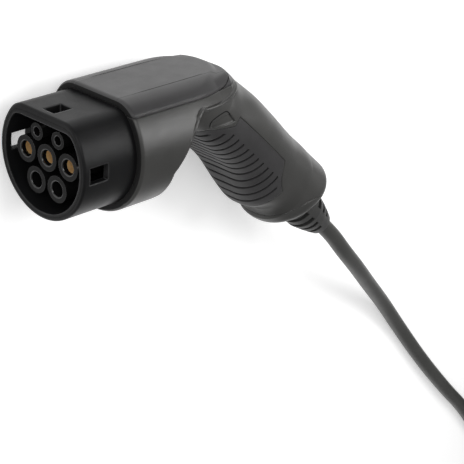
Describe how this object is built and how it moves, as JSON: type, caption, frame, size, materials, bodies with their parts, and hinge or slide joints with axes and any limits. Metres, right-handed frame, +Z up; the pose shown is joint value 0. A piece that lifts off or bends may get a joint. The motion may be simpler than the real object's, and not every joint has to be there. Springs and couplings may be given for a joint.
{
  "type": "ev_charging_cable",
  "caption": "Electric vehicle charging cable with a pistol-grip connector lying on its side, a ribbed grip, a strain relief boot, and a coiled cable ending in a matching plug",
  "frame": {"origin": "centre of the connector's mating face, in the plane of the shroud's rim", "axes": "+X runs back along the mating axis, +Y points to the flat of the face, +Z is up as the connector lies on its side"},
  "size_m": [0.5829, 0.3993, 0.0636],
  "materials": {
    "black_plastic": "fine moulded grain",
    "grey_plastic": "satin moulded",
    "cover_plastic": "satin moulded",
    "grip_rubber": "soft matte",
    "boot_rubber": "soft matte",
    "gold_contact": "gold-plated",
    "cable_jacket": "extruded, slightly glossy",
    "tie_fabric": "woven strap",
    "steel": "plated",
    "wire_brown": "smooth",
    "wire_blue": "smooth",
    "wire_green": "smooth",
    "wire_black": "smooth"
  },
  "bodies": {
    "root": {"cable": "cable_jacket", "cable_coil": "cable_jacket", "cable_inner_end": "cable_jacket", "clamp_plate": "black_plastic", "clamp_screw_far": "steel", "clamp_screw_near": "steel", "coil_tie": "tie_fabric", "contact_carrier": "black_plastic", "contact_earth": "gold_contact", "contact_line": "gold_contact", "contact_neutral": "gold_contact", "contact_pilot": "gold_contact", "contact_proximity": "gold_contact", "contact_retainer": "black_plastic", "end_cap": "grey_plastic", "face_gasket": "boot_rubber", "face_screw_lower_far": "steel", "face_screw_lower_near": "steel", "face_screw_upper_far": "steel", "face_screw_upper_near": "steel", "grip_insert": "grip_rubber", "main_housing": "grey_plastic", "plug_cable_end": "cable_jacket", "plug_clamp_plate": "black_plastic", "plug_clamp_screw_far": "steel", "plug_clamp_screw_near": "steel", "plug_cover": "cover_plastic", "plug_end_cap": "grey_plastic", "plug_gasket": "boot_rubber", "plug_grip": "grip_rubber", "plug_housing": "grey_plastic", "plug_pin_block": "black_plastic", "plug_pin_earth": "gold_contact", "plug_pin_line": "gold_contact", "plug_pin_neutral": "gold_contact", "plug_pin_pilot": "gold_contact", "plug_pin_proximity": "gold_contact", "plug_shroud": "black_plastic", "plug_strain_relief": "boot_rubber", "shroud": "black_plastic", "strain_relief": "boot_rubber", "top_cover": "cover_plastic", "wire_earth": "wire_green", "wire_line": "wire_brown", "wire_neutral": "wire_blue", "wire_pilot": "wire_black"}
  },
  "joints": []
}
